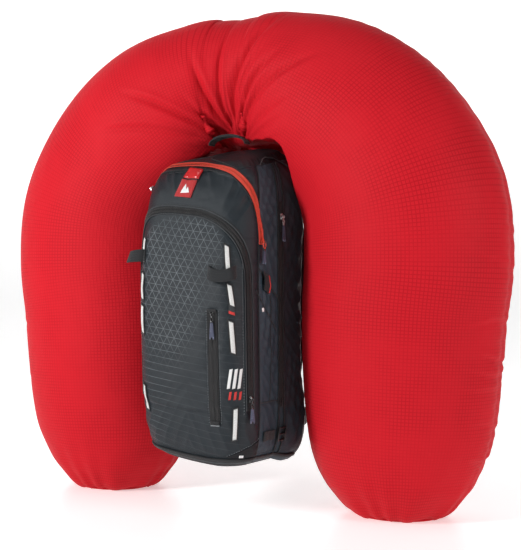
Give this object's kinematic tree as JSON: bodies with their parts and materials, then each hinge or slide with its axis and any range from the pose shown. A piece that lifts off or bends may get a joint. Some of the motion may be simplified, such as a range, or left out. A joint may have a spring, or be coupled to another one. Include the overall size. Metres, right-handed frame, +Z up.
{
  "type": "avalanche airbag backpack",
  "caption": "Ski backpack with its inflated U-shaped airbag: gas cylinder, percussion head, trigger, zipped panels and harness as separate moving parts.",
  "frame": {"origin": "on the ground, midway between the two feet of the inflated airbag, at the centre of the whole object from front to back", "axes": "+Z up; -Y towards the pack's outer face, +Y towards the wearer; +X along the width of the airbag"},
  "size_m": [1.0332, 0.4191, 0.9405],
  "materials": {
    "airbag_fabric": "taut coated ripstop nylon",
    "pack_fabric": "printed ripstop nylon",
    "side_fabric": "plain coated nylon",
    "rear_fabric": "plain coated nylon",
    "base_fabric": "heavy coated nylon",
    "mesh_foam": "spacer mesh over foam",
    "webbing": "woven nylon webbing",
    "reflective_webbing": "pale reflective webbing",
    "badge": "moulded fabric badge",
    "zip_black": "coil zip",
    "zip_orange": "coil zip",
    "pull_grey": "moulded pull",
    "plastic_black": "moulded nylon",
    "frame_plastic": "polyethylene sheet",
    "handle_red": "moulded handle",
    "flap_rubber": "moulded check flap",
    "hose_rubber": "pressure hose",
    "aluminium": "anodised",
    "steel": "turned steel"
  },
  "bodies": {
    "pack": {"airbag_chamber_right": "airbag_fabric", "airbag_chamber_left": "airbag_fabric", "airbag_necks": "airbag_fabric", "airbag_anchor_tabs": "webbing", "front_panel": "pack_fabric", "upper_front_panel": "side_fabric", "side_panel_right": "side_fabric", "side_panel_left": "side_fabric", "rear_side_panel_right": "rear_fabric", "rear_side_panel_left": "rear_fabric", "top_panel": "side_fabric", "base_panel": "base_fabric", "back_liner": "rear_fabric", "base_piping": "webbing", "tool_pocket_zip": "zip_black", "top_zip": "zip_orange", "airbag_zip": "zip_black", "small_pocket_zip": "zip_black", "daisy_chains": "reflective_webbing", "axe_loops": "webbing", "badge_tab": "badge", "compression_straps": "webbing", "back_panel": "mesh_foam", "lumbar_pad": "mesh_foam", "frame_sheet": "frame_plastic", "frame_stays": "aluminium", "shoulder_strap_right": "mesh_foam", "shoulder_strap_left": "mesh_foam", "strap_webbing": "webbing", "sternum_rails": "plastic_black", "leg_strap": "webbing", "carabiner_body": "aluminium", "gas_cylinder": "aluminium", "percussion_head": "aluminium", "lever_pin": "steel", "gas_hose": "hose_rubber", "ejectors": "plastic_black", "trigger_cable": "hose_rubber", "trigger_holster": "plastic_black"},
    "trigger": {"trigger_handle": "handle_red"},
    "lever": {"firing_lever": "aluminium"},
    "striker": {"firing_pin": "steel"},
    "check_flap_right": {"flap_right": "flap_rubber"},
    "check_flap_left": {"flap_left": "flap_rubber"},
    "tool_slider": {"tool_pocket_slider": "zip_black"},
    "tool_pull": {"tool_pocket_pull": "pull_grey"},
    "small_slider": {"small_pocket_slider": "zip_black"},
    "small_pull": {"small_pocket_pull": "pull_grey"},
    "side_slider": {"airbag_zip_slider": "aluminium"},
    "side_pull": {"airbag_zip_pull": "pull_grey"},
    "top_slider": {"top_zip_slider": "zip_orange"},
    "top_pull": {"top_zip_pull": "pull_grey"},
    "haul": {"haul_handle": "webbing"},
    "wing_right": {"hip_wing_right": "mesh_foam", "hip_buckle_male": "plastic_black"},
    "wing_left": {"hip_wing_left": "mesh_foam", "hip_buckle_female": "plastic_black"},
    "sternum": {"sternum_strap": "webbing", "sternum_buckle": "plastic_black"},
    "gate": {"carabiner_gate": "aluminium"}
  },
  "joints": [
    {"name": "trigger_pull", "type": "slide", "parent": "pack", "child": "trigger", "axis": [0.1549, -0.1392, -0.9781], "range_m": [0, 0.018]},
    {"name": "lever_turn", "type": "hinge", "parent": "pack", "child": "lever", "pos_m": [0.048, -0.052, 0.4883], "axis": [0, 1, 0], "range_deg": [0, 12]},
    {"name": "striker_drop", "type": "slide", "parent": "pack", "child": "striker", "axis": [0, 0, -1], "range_m": [0, 0.003]},
    {"name": "flap_lift_right", "type": "hinge", "parent": "pack", "child": "check_flap_right", "pos_m": [0.026, -0.055, 0.5444], "axis": [1, 0, 0], "range_deg": [0, 35]},
    {"name": "flap_lift_left", "type": "hinge", "parent": "pack", "child": "check_flap_left", "pos_m": [-0.026, -0.055, 0.5444], "axis": [1, 0, 0], "range_deg": [0, 35]},
    {"name": "tool_zip_run", "type": "slide", "parent": "pack", "child": "tool_slider", "axis": [0.0011, -0.0341, 0.9994], "range_m": [0, 0.18]},
    {"name": "tool_pull_swing", "type": "hinge", "parent": "tool_slider", "child": "tool_pull", "pos_m": [0.11551, -0.16692, 0.21978], "axis": [-0.4966, -0.8675, -0.0301], "range_deg": [0, 150]},
    {"name": "small_zip_run", "type": "slide", "parent": "pack", "child": "small_slider", "axis": [-0.0007, 0.0401, -0.9992], "range_m": [0, 0.15]},
    {"name": "small_pull_swing", "type": "hinge", "parent": "small_slider", "child": "small_pull", "pos_m": [0.05549, -0.20581, 0.37071], "axis": [-0.9979, -0.0646, -0.0025], "range_deg": [0, 150]},
    {"name": "side_zip_run", "type": "slide", "parent": "pack", "child": "side_slider", "axis": [0.0257, -0.0441, -0.9987], "range_m": [0, 0.09]},
    {"name": "side_pull_swing", "type": "hinge", "parent": "side_slider", "child": "side_pull", "pos_m": [0.13137, -0.0729, 0.54298], "axis": [-0.1583, -0.9854, 0.0625], "range_deg": [0, 150]},
    {"name": "top_zip_run", "type": "slide", "parent": "pack", "child": "top_slider", "axis": [-0.029, 0.0979, 0.9948], "range_m": [0, 0.02]},
    {"name": "top_pull_swing", "type": "hinge", "parent": "top_slider", "child": "top_pull", "pos_m": [0.12395, -0.13601, 0.49537], "axis": [-0.1492, -0.9856, 0.0799], "range_deg": [0, 150]},
    {"name": "haul_fold", "type": "hinge", "parent": "pack", "child": "haul", "pos_m": [0.016, -0.066, 0.68], "axis": [1, 0, 0], "range_deg": [0, 45]},
    {"name": "wing_turn_right", "type": "hinge", "parent": "pack", "child": "wing_right", "pos_m": [0.092, 0.033, 0.158], "axis": [0, 0, -1], "range_deg": [0, 25]},
    {"name": "wing_turn_left", "type": "hinge", "parent": "pack", "child": "wing_left", "pos_m": [-0.092, 0.033, 0.158], "axis": [0, 0, 1], "range_deg": [0, 25]},
    {"name": "sternum_run", "type": "slide", "parent": "pack", "child": "sternum", "axis": [0, -0.0523, 0.9986], "range_m": [-0.025, 0.025]},
    {"name": "gate_open", "type": "hinge", "parent": "pack", "child": "gate", "pos_m": [0.0084, 0.0495, 0.133], "axis": [0, -1, 0], "range_deg": [0, 25], "stiffness_Nm_per_rad": 0.05, "springref_deg": -5.73}
  ],
  "couplings": [
    {"joint": "lever_turn", "follows": "trigger_pull", "rad_per_m": 11.624},
    {"joint": "striker_drop", "follows": "trigger_pull", "ratio": 0.1665}
  ]
}
